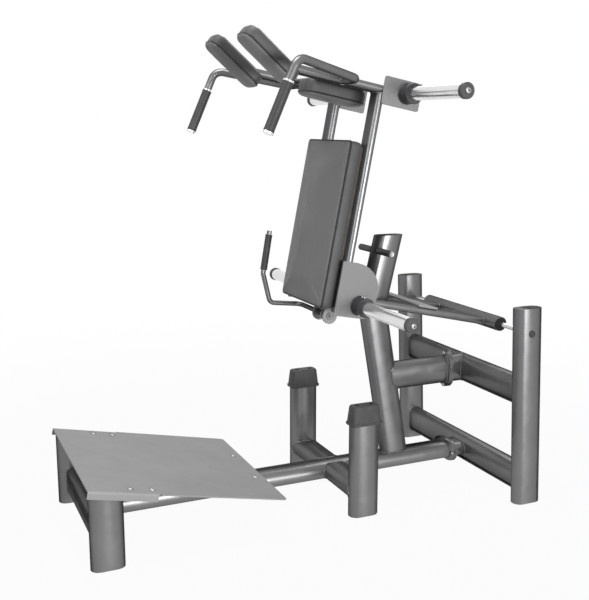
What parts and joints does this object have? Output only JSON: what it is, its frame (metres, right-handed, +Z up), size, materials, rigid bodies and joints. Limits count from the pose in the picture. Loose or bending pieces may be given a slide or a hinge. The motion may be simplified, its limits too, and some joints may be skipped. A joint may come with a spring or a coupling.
{
  "type": "squat machine",
  "caption": "Lever squat machine: welded oval-tube base with sloped standing plate, and a hinged carriage with back pad, shoulder pads, handles and plate horns.",
  "frame": {"origin": "on the floor, under the middle of the part's bounding box at rest", "axes": "+Z up; -Y toward the front, where the standing plate is; +X toward the left of a user who stands on the plate and faces forward"},
  "size_m": [1.22, 1.7671, 1.8051],
  "materials": {
    "frame_paint": "silver-grey metallic powder coat, satin",
    "plate_paint": "light silver-grey powder coat, satin",
    "chrome": "polished",
    "zinc": "zinc plated",
    "black_rubber": "matt moulded",
    "grey_vinyl": "matt upholstery vinyl with a fine grain",
    "plywood": "painted plywood"
  },
  "bodies": {
    "frame": {"brace_tube": "frame_paint", "bumper_left": "black_rubber", "bumper_right": "black_rubber", "catch_ledge": "plate_paint", "column_left": "frame_paint", "column_right": "frame_paint", "front_crossbar": "frame_paint", "leg_left": "frame_paint", "leg_right": "frame_paint", "lower_crossbar": "frame_paint", "pivot_shaft": "chrome", "platform_bracket": "plate_paint", "platform_plate": "plate_paint", "platform_rail_left": "plate_paint", "platform_rail_right": "plate_paint", "post": "frame_paint", "shaft_bolt_left": "zinc", "shaft_bolt_right": "zinc", "spine_tube": "frame_paint", "stop_arm_left": "frame_paint", "stop_arm_right": "frame_paint", "stop_post_left": "frame_paint", "stop_post_right": "frame_paint", "upper_crossbar": "frame_paint"},
    "carriage": {"arm_left": "frame_paint", "arm_right": "frame_paint", "arm_tie": "plate_paint", "back_board": "plywood", "back_pad": "grey_vinyl", "cross_tube": "frame_paint", "handle_grip_left": "black_rubber", "handle_grip_right": "black_rubber", "handle_left": "frame_paint", "handle_right": "frame_paint", "horn_plate_left": "plate_paint", "horn_plate_right": "plate_paint", "lower_horn_cap_left": "black_rubber", "lower_horn_cap_right": "black_rubber", "lower_horn_left": "chrome", "lower_horn_right": "chrome", "neck_pad": "grey_vinyl", "neck_pad_plate": "plate_paint", "pivot_bearing_left": "zinc", "pivot_bearing_right": "zinc", "pivot_tube": "frame_paint", "shoulder_pad_left": "grey_vinyl", "shoulder_pad_right": "grey_vinyl", "shoulder_tube_left": "frame_paint", "shoulder_tube_right": "frame_paint", "side_plate_left": "plate_paint", "side_plate_right": "plate_paint", "upper_horn_cap_left": "black_rubber", "upper_horn_cap_right": "black_rubber", "upper_horn_left": "chrome", "upper_horn_right": "chrome", "upright_left": "frame_paint", "upright_right": "frame_paint"},
    "release": {"release_lever": "chrome", "release_grip": "black_rubber", "catch_pawl": "plate_paint"}
  },
  "joints": [
    {"name": "lever_pivot", "type": "hinge", "parent": "frame", "child": "carriage", "pos_m": [0, 0.79458, 0.69], "axis": [1, 0, 0], "range_deg": [-4, 30.5]},
    {"name": "release_pivot", "type": "hinge", "parent": "carriage", "child": "release", "pos_m": [0, 0.14126, 0.7355], "axis": [1, 0, 0], "range_deg": [-28, 12]}
  ]
}
